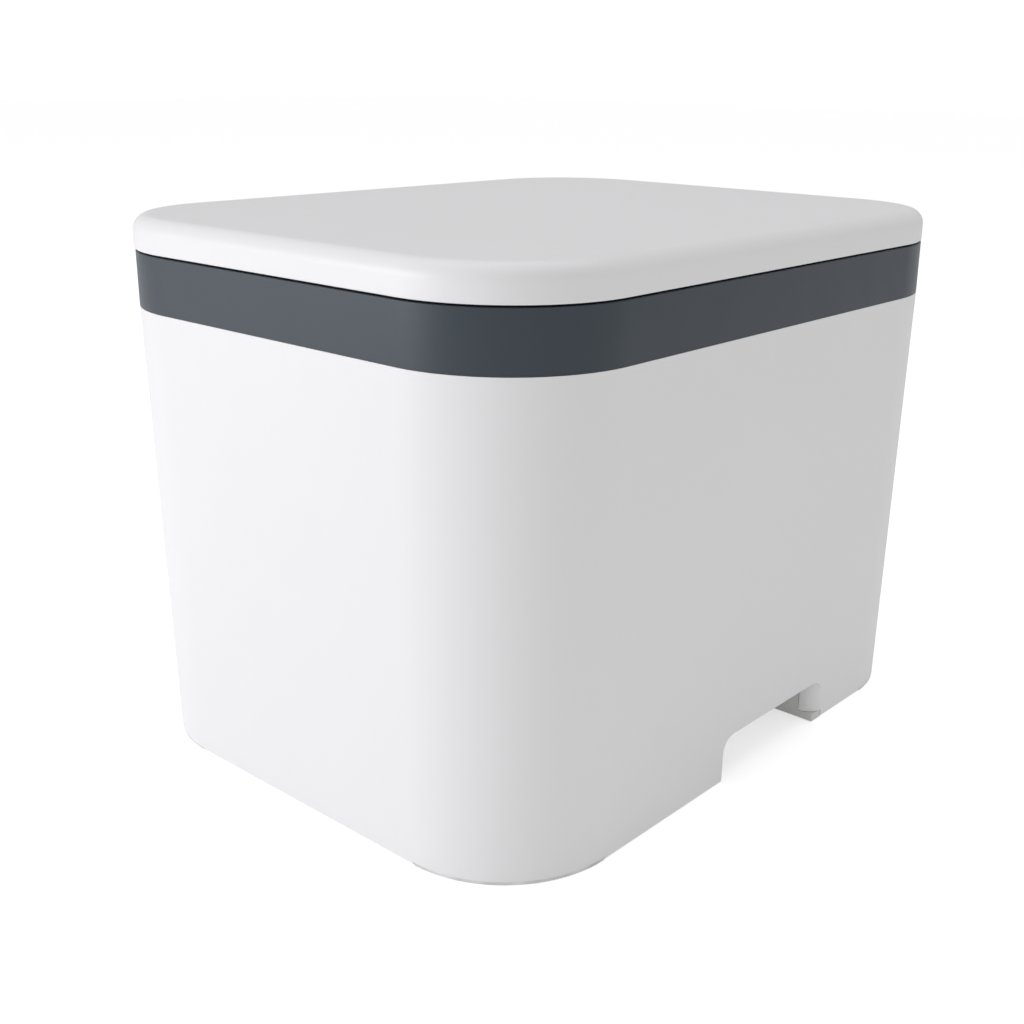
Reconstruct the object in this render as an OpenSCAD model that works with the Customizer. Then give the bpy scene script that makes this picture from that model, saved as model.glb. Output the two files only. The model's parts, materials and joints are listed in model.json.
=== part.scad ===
// Small household trash compactor: a lift-out bin in a tapered shell, and a
// hinged lid that carries a motor-driven scissor press.
// Millimetres. Origin: centre of the footprint, on the floor. Front is -Y.

/* [Case] */
// Width of the lid, the widest piece, along X
case_w = 320; // [310:1:330]
// Depth of the case from front to back, along Y
case_d = 404; // [400:1:410]
// Height of the closed case
case_h = 301; // [298:0.5:304]
// Radius of the upright corners at the band
corner_r = 72; // [70:1:74]
// Inward lean of the shell walls, in mm for each mm of height
draft = 0.018; // [0.016:0.001:0.02]
// Wall of the shell
shell_wall = 3; // [2.8:0.1:3.2]
// Height of the dark band under the lid
band_h = 29.5; // [28:0.5:31]

/* [Lid] */
// Height of the lid cover
lid_h = 18; // [17.5:0.5:18.5]
// Radius of the lid's top edge
lid_edge_r = 8.5; // [7:0.5:9]
// Shadow gap between the lid and the band
lid_gap = 1; // [0.8:0.1:1.2]

/* [Hand grips] */
// Length of the grip notch along the side
grip_len = 107.5; // [100:0.5:110]
// Height of the grip notch
grip_h = 25; // [23:0.5:25]
// Distance of the notch's centre behind the middle of the case
grip_y = 27.25; // [24:0.25:30]
// How far the fingers reach in from the side
grip_depth = 33; // [30:1:34]

/* [Press] */
// Arm length between its end pivots
arm_len = 224; // [223.5:0.5:224.5]
// Angle of the arms from level when the press is up
arm_rest = 5; // [5:0.1:5.2]
// Thickness of an arm
arm_t = 4; // [3.5:0.5:4]
// Teeth of the full circle that the sector gear is cut from
sector_teeth = 34; // [34:1:34]
// Teeth of each drive pinion
pinion_teeth = 12; // [12:1:12]
// Gear module of sector and pinion
sector_module = 2; // [2:1:2]
// Teeth of the gear on the drive shaft
wheel_teeth = 40; // [40:1:40]
// Teeth of the motor gear
motor_teeth = 16; // [16:1:16]
// Radius of the planetary gear motor
motor_r = 16; // [14:0.5:16]

/* [Bin] */
// Wall of the bin
bin_wall = 2.2; // [2:0.1:2.4]
// Half width of the bin at its rim
bin_half_w = 148; // [147:0.5:148]
// Inward lean of the bin walls, in mm for each mm of height
bin_draft = 0.026; // [0.024:0.001:0.028]

/* [Hidden] */
$fn = 96;

// Case levels and outlines
eps = 0.01;
half_w = case_w / 2;
half_d = case_d / 2;
flush = 0.4;                          // band set back from the lid
foot_h = 2;
skirt_z = 0.5;                        // lower edge of the shell between the feet
lid_z = case_h - lid_h;
band_top = lid_z - lid_gap;
band_z = band_top - band_h;
band_half_w = half_w - flush;
band_half_d = half_d - flush;
core_x = band_half_w - corner_r;      // upright corner axes, shared by shell and band
core_y = band_half_d - corner_r;
band_wall = 2.8;
band_flange_t = 3;
spigot_in = 3.4;                      // spigot and step, set in from the band's face
step_in = 1.6;
mouth_half_w = 151.5;                 // opening that the bin lifts out through
mouth_front = -190.5;
mouth_rear = 187;
mouth_r = 61;

// Base
plate_t = 3;
floor_z = foot_h + plate_t;
grip_front = grip_y - grip_len / 2;
grip_rear = grip_y + grip_len / 2;
grip_top = foot_h + grip_h;
pocket_wall = 2.5;
pocket_top = grip_top + 0.5;
relief_h = foot_h + 0.05;             // the feet sit in a relief under each corner
jamb_r = 10;                          // the rear jamb turns out to the skin on this radius
pocket_rear = grip_rear - jamb_r;
skin_x = band_half_w - draft * (band_z - foot_h);
pocket_inner_x = skin_x - grip_depth;
lip_gap = 0.3;                        // between the tray and the shell
deck_z = pocket_top + pocket_wall;
deck_t = 2.5;
boss_reach = 44;                      // screw boss distance from a corner axis
boss_x = core_x + boss_reach * cos(45);
boss_y = core_y + boss_reach * sin(45);
screw_r = 2;

// Bin
bin_z = deck_z + deck_t;
bin_rim_z = 270;
bin_r = 60;
bin_core_x = bin_half_w - bin_r;
bin_front = -186.5;
bin_rear = 183;
bin_floor_t = 2.5;

// Circuit boards
board_t = 1.6;

// Rear fittings
inlet_x = 40;
rocker_x = 80;
fitting_z = 16;
inlet_half_w = 14;
inlet_half_h = 10;
rocker_half_w = 10;
rocker_half_h = 6.5;
rear_skin = band_half_d - draft * (band_z - fitting_z);

// Lid hinges: the lid ends at the hinge axis, so nothing of it swings down behind
hinge_y = 198;
hinge_z = lid_z - 0.5;
hinge_x = 75;
knuckle_r = 4;
hinge_pin_r = 2;
leaf_screw_y = 152;
knuckle_half = 7.4;                   // half length of the lid's middle knuckle
bracket_half = 20;
run_fit = 0.05;                       // radial clearance of a pin that turns
lid_wall = 3;
lid_core_x = half_w - corner_r;
lid_core_y = half_d - corner_r;
lid_rear_r = hinge_y - lid_core_y;    // smaller rear corners, tangent to the sides
lid_top_in = case_h - lid_wall;

// Lid liner
liner_z = 239.5;
liner_t = 2.5;
liner_half_w = 140;
liner_front = -178;
liner_rear = 178;
liner_r = 50;
flange_z = band_top + 2;
flange_t = 2;
flange_half_w = 155.8;
flange_front = -196;
flange_rear = 191.6;
flange_r = 65;
flange_screw_x = 147.5;
slot_x0 = 84;
slot_x1 = 112.5;
slot_y0 = -160;
slot_y1 = 116;

// Scissor press. P is the fixed upper pivot; L is the lower pivot straight below it.
pivot_y = 80;
pivot_z = 268;
drop = arm_len * sin(arm_rest);
run_out = arm_len * cos(arm_rest);
low_z = pivot_z - drop;
slide_y0 = pivot_y - run_out;         // sliding ends with the press up
slide_y1 = pivot_y - arm_len * cos(arm_rest + 40);
cross_arm_x = 94;
lift_arm_x = 100;
rail_x = 107;
rail_t = 3;
rail_z = 256.2;
frame_z = 286;
frame_t = 2;
frame_front = -160;
frame_back = 162;
cross_plate_w = 19;
frame_screw_x = 117;
lug_x = 88;
lug_t = 4;
shaft_r = 5;
centre_pin_r = 4;
slide_pin_r = 3;
bush_r = 4;
slot_half = bush_r + 0.2;

// Gear train
pressure_angle = 25;
addendum = 0.9;                       // of a module
dedendum = 1.1;
backlash = 0.09;                      // off each flank, mm
sector_pitch_r = sector_module * sector_teeth / 2;
pinion_pitch_r = sector_module * pinion_teeth / 2;
drive_y = pivot_y + sector_pitch_r + pinion_pitch_r;
wheel_pitch_r = wheel_teeth / 2;
motor_pitch_r = motor_teeth / 2;
motor_y = drive_y + wheel_pitch_r + motor_pitch_r;
wheel_x = 50;
wheel_w = 8;
drive_r = 4;
bearing_r = 6;
motor_face_x = 46;
gearbox_len = 34;
motor_len = 92;

// Press plate
press_top = 235.5;
press_z = 222;
press_half_w = 134;
press_front = -176;
press_rear = 168;
press_r = 50;
face_t = 3;
foot_t = 2;

// Lock
bolt_z = 274;
bolt_half_w = 7;
bolt_t = 4;
plunger_r = 3.9;
coil_front = -174;
coil_back = -142;
strike_x = 14;
strike_z = 272;

// ---------- shape helpers ----------

module both_sides() {
    children();
    mirror([1, 0, 0]) children();
}

// Rounded outline with its own front and rear limits
module plan(half_x, y0, y1, r) {
    translate([-half_x, y0 + r]) square([2 * half_x, y1 - y0 - 2 * r]);
    translate([-half_x + r, y0]) square([2 * (half_x - r), y1 - y0]);
    for (x = [-half_x + r, half_x - r]) for (y = [y0 + r, y1 - r]) translate([x, y]) circle(r);
}

module plan_slab(half_x, y0, y1, r, z0, z1) {
    translate([0, 0, z0]) linear_extrude(z1 - z0) plan(half_x, y0, y1, r);
}

// Ring between two rounded outlines a wall apart
module plan_ring(half_x, y0, y1, r, wall, z0, z1) {
    difference() {
        plan_slab(half_x, y0, y1, r, z0, z1);
        plan_slab(half_x - wall, y0 + wall, y1 - wall, r - wall, z0 - 1, z1 + 1);
    }
}

// Block whose walls lean at one rate all round: cones at the corners, flat sides between
module drafted_block(core_half_x, core_y0, core_y1, r0, r1, z0, z1) {
    for (x = [-core_half_x, core_half_x]) for (y = [core_y0, core_y1])
        translate([x, y, z0]) cylinder(h = z1 - z0, r1 = r0, r2 = r1);
    translate([0, core_y1, 0]) rotate([90, 0, 0]) linear_extrude(core_y1 - core_y0)
        polygon([[-core_half_x - r0, z0], [core_half_x + r0, z0],
            [core_half_x + r1, z1], [-core_half_x - r1, z1]]);
    translate([-core_half_x, 0, 0]) rotate([90, 0, 90]) linear_extrude(2 * core_half_x)
        polygon([[core_y0 - r0, z0], [core_y1 + r0, z0], [core_y1 + r1, z1], [core_y0 - r1, z1]]);
}

function shell_r(z) = corner_r - draft * (band_z - z);

module shell_block(inset, z0, z1) {
    drafted_block(core_x, -core_y, core_y, shell_r(z0) - inset, shell_r(z1) - inset, z0, z1);
}

function bin_r_at(z) = bin_r - bin_draft * (bin_rim_z - z);

module bin_block(inset, z0, z1) {
    drafted_block(bin_core_x, bin_front + bin_r, bin_rear - bin_r,
        bin_r_at(z0) - inset, bin_r_at(z1) - inset, z0, z1);
}

// Extrudes a (Y, Z) outline along X from x0 to x1
module along_x(x0, x1) {
    translate([x0, 0, 0]) rotate([90, 0, 90]) linear_extrude(x1 - x0) children();
}

// Rod along X
module rod_x(r, x0, x1, y, z) {
    translate([x0, y, z]) rotate([0, 90, 0]) cylinder(h = x1 - x0, r = r);
}

// Rod along Y
module rod_y(r, y0, y1, x, z) {
    translate([x, y1, z]) rotate([90, 0, 0]) cylinder(h = y1 - y0, r = r);
}

// Pan head screw that points up, with its head's underside at z
module screw_up(x, y, z, len, head_h = 1.6) {
    translate([x, y, z - head_h]) difference() {
        cylinder(h = head_h, r = 3.6);
        translate([0, 0, -eps]) cylinder(h = 0.8, r = 1.6, $fn = 6);
    }
    translate([x, y, z - eps]) cylinder(h = len, r = screw_r);
}

module screw_down(x, y, z, len, head_h = 1.6) {
    translate([0, 0, 2 * z]) mirror([0, 0, 1]) screw_up(x, y, z, len, head_h);
}

// ---------- gears ----------

function involute(pitch_r, r) =
    let (base_r = pitch_r * cos(pressure_angle), t = sqrt(max(0, pow(r / base_r, 2) - 1)))
    t * 180 / PI - atan(t);

function tooth_half(pitch_r, teeth, r) = 90 / teeth - backlash / pitch_r * 180 / PI
    + involute(pitch_r, pitch_r) - involute(pitch_r, r);

function polar(r, a) = [r * cos(a), r * sin(a)];

// Toothed outline with a tooth centred on angle phase
module gear_outline(m, teeth, phase) {
    pitch_r = m * teeth / 2;
    root_r = pitch_r - dedendum * m;
    tip_r = pitch_r + addendum * m;
    foot_r = max(root_r, pitch_r * cos(pressure_angle));
    steps = 4;
    flank = [for (k = [0:steps]) foot_r + (tip_r - foot_r) * k / steps];
    polygon([for (i = [0:teeth - 1]) let (a = phase + i * 360 / teeth) each concat(
        [polar(root_r, a - tooth_half(pitch_r, teeth, foot_r))],
        [for (r = flank) polar(r, a - tooth_half(pitch_r, teeth, r))],
        [for (k = [steps:-1:0]) polar(flank[k], a + tooth_half(pitch_r, teeth, flank[k]))],
        [polar(root_r, a + tooth_half(pitch_r, teeth, foot_r))])]);
}

// ---------- body ----------

module grip_outline() {
    front_r = 9;
    rear_r = 14;
    translate([grip_front, -1]) square([grip_len - rear_r, grip_top - front_r + 1]);
    translate([grip_front, -1]) square([grip_len, grip_top - rear_r + 1]);
    translate([grip_front + front_r, -1]) square([grip_len - front_r - rear_r, grip_top + 1]);
    translate([grip_front + front_r, grip_top - front_r]) circle(front_r);
    translate([grip_rear - rear_r, grip_top - rear_r]) circle(rear_r);
}

module rear_cut(x, half_w, half_h) {
    translate([x - half_w, 180, fitting_z - half_h]) cube([2 * half_w, 40, 2 * half_h]);
}

// Blocks under the four corners, where the feet go
module corner_reliefs() {
    for (sx = [-1, 1]) for (sy = [-1, 1])
        translate([sx > 0 ? core_x : -core_x - 100, sy > 0 ? core_y : -core_y - 100, -1])
            cube([100, 100, relief_h + 1]);
}

// Rounded rear jamb of a grip, a quarter post tied into the shell wall
module jamb_post() {
    post_z = floor_z + 0.2;
    translate([skin_x - jamb_r, grip_rear, post_z]) {
        intersection() {
            cylinder(h = deck_z - post_z, r = jamb_r);
            translate([0, -jamb_r, -1]) cube([jamb_r, jamb_r, deck_z]);
        }
        translate([0, -1, 0]) cube([jamb_r - 2, 4, deck_z - post_z]);
    }
}

module outer_shell() color("white") {
    difference() {
        shell_block(0, skirt_z, band_z);
        shell_block(shell_wall, skirt_z - eps, band_z + eps);
        corner_reliefs();
        both_sides() along_x(130, 170) grip_outline();
        rear_cut(inlet_x, inlet_half_w, inlet_half_h);
        rear_cut(rocker_x, rocker_half_w, rocker_half_h);
    }
    both_sides() jamb_post();
    for (sx = [-1, 1]) for (sy = [-1, 1])
        translate([sx * core_x, sy * core_y, floor_z]) rotate([0, 0, atan2(sy, sx)]) shell_boss();
}

module shell_boss() {
    h = deck_z - floor_z;
    difference() {
        union() {
            translate([boss_reach, 0, 0]) cylinder(h = h, r = 6);
            translate([boss_reach, -1.5, 0]) cube([shell_r(floor_z) - boss_reach - 1, 3, h]);
        }
        translate([boss_reach, 0, -1]) cylinder(h = h + 2, r = screw_r);
    }
}

module band_ring(inset, wall, z0, z1) {
    y = band_half_d - inset;
    plan_ring(band_half_w - inset, -y, y, corner_r - inset, wall, z0, z1);
}

module collar_ring() color("slategray") difference() {
    union() {
        band_ring(0, band_wall, band_z, band_top);
        difference() {
            plan_slab(band_half_w - 1, -band_half_d + 1, band_half_d - 1, corner_r - 1,
                band_top - band_flange_t, band_top);
            plan_slab(mouth_half_w, mouth_front, mouth_rear, mouth_r, band_z, band_top + 1);
        }
        // spigot that drops inside the shell, and the step that joins it to the band
        band_ring(spigot_in, 2, band_z - 8, band_z + 2.5);
        band_ring(step_in, 3.8, band_z, band_z + 2.5);
        // pads that the hinge brackets screw to
        both_sides() translate([hinge_x - bracket_half, 196, band_z + 1])
            cube([2 * bracket_half, 4, 24]);
    }
    both_sides() translate([hinge_x - bracket_half - 0.5, 185, hinge_z - 5])
        cube([2 * bracket_half + 1, 20, 10]);
    both_sides() for (p = hinge_screw_points()) rod_y(1.7, 190, 199.5, hinge_x + p[0], p[1]);
    for (x = [-strike_x, strike_x]) rod_y(1.75, -200.2, -190, x, strike_z);
}

module pocket_plan(grow) {
    translate([pocket_inner_x - grow, grip_front - grow])
        square([40 + grow, pocket_rear - grip_front + 2 * grow]);
}

module base_tray() color("gainsboro") {
    half_x = skin_x - shell_wall - lip_gap;
    half_y = half_x - half_w + half_d;
    r = shell_r(foot_h) - shell_wall - lip_gap;
    difference() {
        union() {
            plan_slab(half_x, -half_y, half_y, r, foot_h, floor_z);
            plan_ring(half_x, -half_y, half_y, r, 3, skirt_z, floor_z);
            intersection() {
                plan_slab(half_x, -half_y, half_y, r, skirt_z, deck_z);
                both_sides() translate([0, 0, skirt_z]) linear_extrude(deck_z - skirt_z)
                    pocket_plan(pocket_wall);
            }
            // lip under each jamb
            both_sides() translate([skin_x - jamb_r - 2, pocket_rear, skirt_z])
                cube([jamb_r + 2 - lip_gap, jamb_r - lip_gap, floor_z - skirt_z]);
            for (p = board_posts()) translate([p[0], p[1], floor_z]) cylinder(h = 7, r = 3.5);
        }
        corner_reliefs();
        both_sides() {
            translate([0, 0, -1]) linear_extrude(pocket_top + 1) pocket_plan(0);
            translate([skin_x - jamb_r - 0.2, pocket_rear - 1, floor_z])
                cube([20, jamb_r + 4.2, deck_z]);
        }
        for (sx = [-1, 1]) for (sy = [-1, 1]) {
            translate([sx * boss_x, sy * boss_y, 0]) cylinder(h = 10, r = screw_r + 0.2);
            translate([sx * boss_x, sy * boss_y, 0]) cylinder(h = foot_h + 1.8, r = 4);
            for (a = [25, 65]) foot_peg(sx, sy, a, 3.1, 10);
        }
        for (p = board_posts()) translate([p[0], p[1], floor_z + 1]) cylinder(h = 8, r = 1.2);
    }
}

function board_posts() = [for (x = [-76, 36]) for (y = [89, 151]) [x, y]];

module foot_peg(sx, sy, a, r, h) {
    translate([sx * (core_x + 59 * cos(a)), sy * (core_y + 59 * sin(a)), 0]) cylinder(h = h, r = r);
}

module corner_feet() color("whitesmoke") for (sx = [-1, 1]) for (sy = [-1, 1]) {
    intersection() {
        translate([sx * core_x, sy * core_y, 0]) difference() {
            cylinder(h = foot_h, r = shell_r(0) - 0.2);
            translate([0, 0, -1]) cylinder(h = foot_h + 2, r = 52);
        }
        translate([sx > 0 ? core_x + lip_gap : -core_x - lip_gap - 100,
            sy > 0 ? core_y + lip_gap : -core_y - lip_gap - 100, -1]) cube([100, 100, 10]);
    }
    for (a = [25, 65]) foot_peg(sx, sy, a, 3, floor_z - 0.4);
}

module base_deck() color("lightgray") {
    difference() {
        plan_slab(149, -189, 184, 58, deck_z, bin_z);
        for (sx = [-1, 1]) for (sy = [-1, 1])
            translate([sx * boss_x, sy * boss_y, deck_z - 1]) cylinder(h = 5, r = screw_r + 0.2);
        translate([-60, 70, deck_z - 1]) cube([80, 60, 5]);
    }
    // fence that keeps the bin centred
    fence_r = bin_r_at(bin_z) + 0.8;
    difference() {
        drafted_block(bin_core_x, bin_front + bin_r, bin_rear - bin_r, fence_r + 1.6, fence_r + 1.6,
            bin_z - eps, bin_z + 5);
        drafted_block(bin_core_x, bin_front + bin_r, bin_rear - bin_r, fence_r, fence_r,
            bin_z - 1, bin_z + 6);
        for (a = [0, 90]) rotate([0, 0, a]) translate([-100, -220, bin_z]) cube([200, 440, 10]);
        translate([-110, -220, bin_z]) cube([220, 440, 10]);
    }
}

module base_screws() color("silver") for (sx = [-1, 1]) for (sy = [-1, 1])
    screw_up(sx * boss_x, sy * boss_y, foot_h + 1.8, 11);

module deck_screws() color("silver") for (sx = [-1, 1]) for (sy = [-1, 1])
    screw_down(sx * boss_x, sy * boss_y, bin_z, 11);

module inner_bin() color("dimgray") {
    difference() {
        union() {
            bin_block(0, bin_z, bin_rim_z);
            plan_slab(bin_half_w + 2.5, bin_front - 2.5, bin_rear + 2.5, bin_r + 2.5,
                bin_rim_z - 2.5, bin_rim_z);
        }
        bin_block(bin_wall, bin_z + bin_floor_t, bin_rim_z + eps);
        // clearance under the base for the deck screw heads
        for (sx = [-1, 1]) for (sy = [-1, 1])
            translate([sx * boss_x, sy * boss_y, bin_z - 1]) cylinder(h = 3, r = 4.2);
    }
    for (sx = [-1, 1]) for (sy = [-1, 1])
        translate([sx * boss_x, sy * boss_y, bin_z + 2]) cylinder(h = 2.2, r = 6);
}

module hinge_brackets() color("silver") both_sides() translate([hinge_x, 0, 0]) {
    difference() {
        union() {
            translate([-bracket_half, 194, band_z + 1]) cube([2 * bracket_half, 2, 27.5]);
            for (x = [-bracket_half, knuckle_half + 0.3]) {
                rod_x(knuckle_r, x, x + bracket_half - knuckle_half - 0.3, hinge_y, hinge_z);
                translate([x, 194, hinge_z - 4])
                    cube([bracket_half - knuckle_half - 0.3, 4, 4]);
            }
        }
        for (p = hinge_screw_points()) rod_y(2.1, 190, 199, p[0], p[1]);
        rod_x(hinge_pin_r, -30, 30, hinge_y, hinge_z);
        // room for the lid's knuckle, which turns between the outer two
        translate([-knuckle_half - 0.3, 190, hinge_z - knuckle_r - 0.8])
            cube([2 * knuckle_half + 0.6, 10, 10]);
    }
}

module hinge_pins() color("gray") both_sides()
    rod_x(hinge_pin_r, hinge_x - bracket_half - 0.3, hinge_x + bracket_half + 0.3, hinge_y, hinge_z);

function hinge_screw_points() = [for (x = [-12, 12]) for (z = [6, 16]) [x, band_z + z]];

module hinge_screws() color("gray") both_sides() for (p = hinge_screw_points())
    translate([hinge_x + p[0], 194, p[1]]) rotate([-90, 0, 0]) screw_short();

module screw_short() {
    translate([0, 0, -1.6]) difference() {
        cylinder(h = 1.6, r = 3.2);
        translate([0, 0, -eps]) cylinder(h = 0.8, r = 1.4, $fn = 6);
    }
    translate([0, 0, -eps]) cylinder(h = 5, r = 1.7);
}

module strike_plate() color("silver") difference() {
    translate([-20, -198.8, 267]) cube([40, 5.8, band_top - band_flange_t - 267]);
    translate([-bolt_half_w - 0.8, -197.8, bolt_z - 2.6]) cube([2 * bolt_half_w + 1.6, 6, 5.2]);
    for (x = [-strike_x, strike_x]) {
        rod_y(1.8, -200, -190, x, strike_z);
        rod_y(3.8, -194.8, -190, x, strike_z);
    }
}

module strike_screws() color("gray") for (x = [-strike_x, strike_x])
    translate([x, -194.8, strike_z]) rotate([90, 0, 0]) {
        translate([0, 0, -1.6]) cylinder(h = 1.6, r = 3.4);
        translate([0, 0, -eps]) cylinder(h = 5, r = 1.7);
    }

module power_inlet() color("black") {
    difference() {
        union() {
            translate([inlet_x - 13.7, 176, fitting_z - 9.7]) cube([27.4, rear_skin - 175.4, 19.4]);
            translate([inlet_x - 15.5, rear_skin + 0.4, fitting_z - 11.5]) cube([31, 2, 23]);
        }
        translate([inlet_x - 11.8, rear_skin - 14, fitting_z - 7.8]) cube([23.6, 30, 15.6]);
    }
    for (p = [[-7, 1.5], [0, -2.5], [7, 1.5]])
        translate([inlet_x + p[0] - 1, rear_skin - 14 - eps, fitting_z + p[1] - 2]) cube([2, 10, 4]);
}

module switch_housing() color("black") {
    difference() {
        union() {
            translate([rocker_x - 9.7, 180, fitting_z - 6.2]) cube([19.4, rear_skin - 179.4, 12.4]);
            translate([rocker_x - 11.5, rear_skin + 0.4, fitting_z - 8]) cube([23, 1.6, 16]);
        }
        translate([rocker_x - 8.2, rear_skin - 10, fitting_z - 5]) cube([16.4, 20, 10]);
        rod_x(1, rocker_x - 9.2, rocker_x + 9.2, rear_skin - 3, fitting_z);
    }
}

module rocker_button() color("dimgray") {
    intersection() {
        along_x(rocker_x - 7.9, rocker_x + 7.9) difference() {
            translate([rear_skin - 3, fitting_z]) circle(4.7);
            translate([rear_skin - 3 + 3.6, fitting_z + 1.2]) rotate(20) square([6, 20], center = true);
        }
        translate([rocker_x - 20, rear_skin - 9, fitting_z - 10]) cube([40, 20, 20]);
    }
    rod_x(0.95, rocker_x - 9, rocker_x + 9, rear_skin - 3, fitting_z);
}

module power_board() color("darkgreen") difference() {
    translate([-80, 85, floor_z + 7]) cube([120, 70, board_t]);
    for (p = board_posts()) translate([p[0], p[1], floor_z]) cylinder(h = 12, r = 1.5);
}

module transformer() color("goldenrod") {
    top = floor_z + 8.6;
    translate([-30, 100, top]) cube([34, 30, 3]);
    translate([-28, 102, top + 3]) cube([30, 26, 10]);
}

module capacitors() color("midnightblue") {
    top = floor_z + 8.6;
    for (x = [14, 28]) translate([x, 108, top]) cylinder(h = 13, r = 5);
    translate([-64, 100, top]) cube([20, 14, 12]);
    translate([-64, 120, top]) cube([24, 10, 10]);
}

// Loom from the power board up the back of the case
module body_loom() color("black") {
    loom_x = -60;
    loom_y = 190;
    rod_y(2.5, 156, loom_y, loom_x, 17);
    translate([loom_x, loom_y, 17]) sphere(2.5);
    translate([loom_x, loom_y, 17]) cylinder(h = 225, r = 2.5);
    translate([loom_x - 6, 144, floor_z + 8.6]) cube([12, 12, 7]);
    translate([loom_x - 6, loom_y - 3, 242]) cube([12, 6, 8]);
}

module lid_sensor() color("black") translate([40, -198.8, 262]) cube([24, 6, 9]);

// ---------- rocker, lid ----------

// Half of a slab's section: flat foot, upright side, round upper edge
module shoulder(reach, h, edge) {
    square([reach, h - edge]);
    square([reach - edge, h]);
    translate([reach - edge, h - edge]) circle(edge);
}

module shoulder_bar(length, reach, h, edge) {
    rotate([90, 0, 90]) linear_extrude(length, center = true) shoulder(reach, h, edge);
}

// Slab with round upper edges, and rear corners of their own radius
module lid_block(inset, h, edge) {
    front_r = corner_r - inset;
    rear_r = lid_rear_r - inset;
    rear_core_x = half_w - lid_rear_r;
    for (x = [-lid_core_x, lid_core_x])
        translate([x, -lid_core_y, 0]) rotate_extrude() shoulder(front_r, h, edge);
    for (x = [-rear_core_x, rear_core_x])
        translate([x, lid_core_y, 0]) rotate_extrude() shoulder(rear_r, h, edge);
    for (a = [90, -90]) rotate([0, 0, a]) shoulder_bar(2 * lid_core_y, half_w - inset, h, edge);
    shoulder_bar(2 * rear_core_x, hinge_y - inset, h, edge);
    rotate([0, 0, 180]) shoulder_bar(2 * lid_core_x, half_d - inset, h, edge);
}

module lid_cover() color("white") {
    difference() {
        translate([0, 0, lid_z]) lid_block(0, lid_h, lid_edge_r);
        translate([0, 0, lid_z - 5]) lid_block(lid_wall, lid_h + 5 - lid_wall, lid_edge_r - lid_wall);
        both_sides() translate([hinge_x - bracket_half - 0.8, 190, lid_z - 1])
            cube([2 * bracket_half + 1.6, 20, hinge_z + 5.3 - lid_z]);
    }
    for (p = frame_screw_points()) both_sides()
        lid_boss(frame_screw_x, p, frame_z + frame_t);
    for (p = liner_screw_points()) both_sides()
        lid_boss(flange_screw_x, p, flange_z + flange_t);
}

function frame_screw_points() = [-130, -20, 60, 145];
function liner_screw_points() = [-110, 0, 110];

module lid_boss(x, y, z) {
    translate([x, y, z]) difference() {
        cylinder(h = lid_top_in - z + 1, r = 5);
        translate([0, 0, -1]) cylinder(h = 8, r = screw_r);
    }
}

module lid_gasket() color("dimgray")
    plan_ring(flange_half_w, flange_front, flange_rear, flange_r, 3.6, band_top, flange_z);

module lid_liner() color("gray") difference() {
    union() {
        plan_slab(liner_half_w, liner_front, liner_rear, liner_r, liner_z, flange_z + flange_t);
        plan_slab(flange_half_w, flange_front, flange_rear, flange_r, flange_z, flange_z + flange_t);
    }
    plan_slab(liner_half_w - liner_t, liner_front + liner_t, liner_rear - liner_t,
        liner_r - liner_t, liner_z + liner_t, flange_z + 10);
    both_sides() translate([slot_x0, slot_y0, liner_z - 1])
        cube([slot_x1 - slot_x0, slot_y1 - slot_y0, 8]);
    translate([-bolt_half_w - 1, liner_front - 2, bolt_z - 4.4]) cube([2 * bolt_half_w + 2, 8, 8.8]);
    for (p = liner_screw_points()) both_sides()
        translate([flange_screw_x, p, flange_z - 1]) cylinder(h = 5, r = screw_r + 0.2);
}

module liner_screws() color("silver") for (p = liner_screw_points()) both_sides()
    screw_up(flange_screw_x, p, flange_z, 9, 1.4);

// ---------- press frame and drive ----------

module rail_outline() {
    difference() {
        translate([frame_front, rail_z]) square([frame_back - frame_front, frame_z - rail_z]);
        slot_outline(pivot_z);
        translate([pivot_y, pivot_z]) circle(shaft_r + 2);
        translate([drive_y, pivot_z]) circle(bearing_r);
        translate([-30, rail_z + 5]) square([80, 16]);
    }
}

module slot_outline(z) {
    translate([slide_y0 - 1, z - slot_half]) square([slide_y1 - slide_y0 + 2, 2 * slot_half]);
    for (y = [slide_y0 - 1, slide_y1 + 1]) translate([y, z]) circle(slot_half);
}

module press_frame() color("silver") {
    both_sides() along_x(rail_x, rail_x + rail_t) rail_outline();
    difference() {
        union() {
            both_sides() translate([rail_x, frame_front, frame_z])
                cube([15, frame_back - frame_front, frame_t]);
            for (y = [frame_front, frame_back - cross_plate_w])
                translate([-rail_x - 1, y, frame_z]) cube([2 * rail_x + 2, cross_plate_w, frame_t]);
        }
        for (p = frame_screw_points()) both_sides()
            translate([frame_screw_x, p, frame_z - 1]) cylinder(h = 4, r = screw_r + 0.2);
        both_sides() for (x = [-4, 4]) translate([hinge_x + x, leaf_screw_y, frame_z - 1])
            cylinder(h = 4, r = screw_r);
    }
}

module frame_screws() color("gray") for (p = frame_screw_points()) both_sides()
    screw_up(frame_screw_x, p, frame_z, 8, 1.6);

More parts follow.
